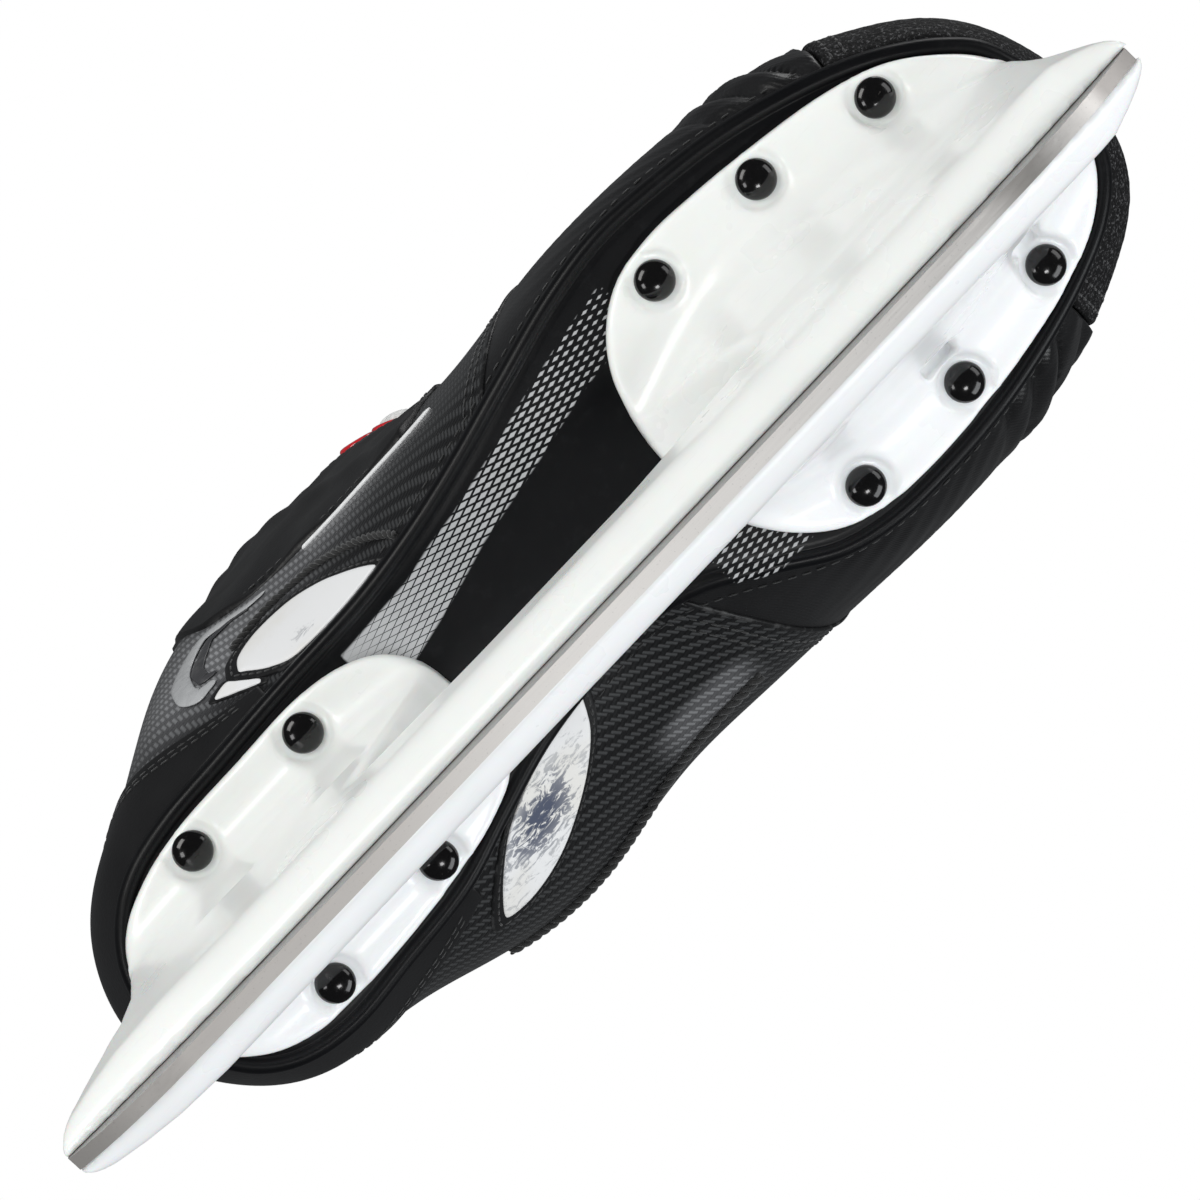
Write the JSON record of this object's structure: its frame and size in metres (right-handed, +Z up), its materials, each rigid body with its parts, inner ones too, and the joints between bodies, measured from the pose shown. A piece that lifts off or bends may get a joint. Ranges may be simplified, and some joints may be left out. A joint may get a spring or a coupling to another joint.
{
  "type": "ice hockey skate",
  "caption": "Right-foot ice hockey skate: laced boot with riveted outsole, moulded blade holder and a removable steel runner.",
  "frame": {"origin": "on the ice plane at the middle of the steel runner's flat, in the blade's mid-plane", "axes": "+X to the toe, +Y to the inner (medial) side of the right foot, +Z up through the boot"},
  "size_m": [0.2875, 0.0996, 0.2474],
  "materials": {
    "steel": "ground and brushed",
    "sole_black": "semi-gloss moulded",
    "board": "satin",
    "footbed_foam": "brushed fabric over foam",
    "holder_white": "glossy moulded",
    "zinc_steel": "zinc plated",
    "rivet_black": "gloss black",
    "toe_black": "grained",
    "synthetic_leather": "fine grain",
    "carbon_composite": "woven under clear coat",
    "white_leather": "smooth, scuffed",
    "eyestay_grey": "satin",
    "lining_fabric": "brushed",
    "tongue_felt": "felt",
    "eyelet_red": "gloss",
    "eyelet_black": "gloss",
    "lace_white": "waxed cotton"
  },
  "bodies": {
    "boot": {"outsole": "sole_black", "insole_board": "board", "runner_holder": "holder_white", "front_bolt_washer": "zinc_steel", "rear_bolt_washer": "zinc_steel", "front_lock_nut": "zinc_steel", "rear_lock_nut": "zinc_steel", "front_rivets": "rivet_black", "rear_rivets": "rivet_black", "rivet_washers": "zinc_steel", "toe_cap": "toe_black", "lateral_vamp": "synthetic_leather", "medial_vamp": "synthetic_leather", "lateral_quarter": "carbon_composite", "medial_quarter": "carbon_composite", "heel_counter": "synthetic_leather", "lateral_side_panel": "white_leather", "medial_side_panel": "white_leather", "lateral_eyestay": "eyestay_grey", "medial_eyestay": "eyestay_grey", "lateral_liner": "lining_fabric", "medial_liner": "lining_fabric", "tongue": "tongue_felt", "lateral_top_eyelets": "eyelet_red", "medial_top_eyelets": "eyelet_red", "lateral_eyelets": "eyelet_black", "medial_eyelets": "eyelet_black", "lace": "lace_white"},
    "steel": {"runner": "steel", "front_hook_bolt": "zinc_steel", "rear_hook_bolt": "zinc_steel"},
    "tongue_flap": {"tongue_top": "tongue_felt"},
    "guard": {"tendon_guard": "synthetic_leather"},
    "bed": {"footbed": "footbed_foam"}
  },
  "joints": [
    {"name": "runner_release", "type": "slide", "parent": "boot", "child": "steel", "axis": [0, 0, -1], "range_m": [0, 0.022]},
    {"name": "tongue_fold", "type": "hinge", "parent": "boot", "child": "tongue_flap", "pos_m": [-0.0045, 0.004, 0.2075], "axis": [0, 1, 0], "range_deg": [-5, 70]},
    {"name": "tendon_guard_flex", "type": "hinge", "parent": "boot", "child": "guard", "pos_m": [-0.109, 0.004, 0.2095], "axis": [0, -1, 0], "range_deg": [0, 18], "stiffness_Nm_per_rad": 0.8},
    {"name": "footbed_lift", "type": "slide", "parent": "boot", "child": "bed", "axis": [0, 0, 1], "range_m": [0, 0.008]}
  ]
}
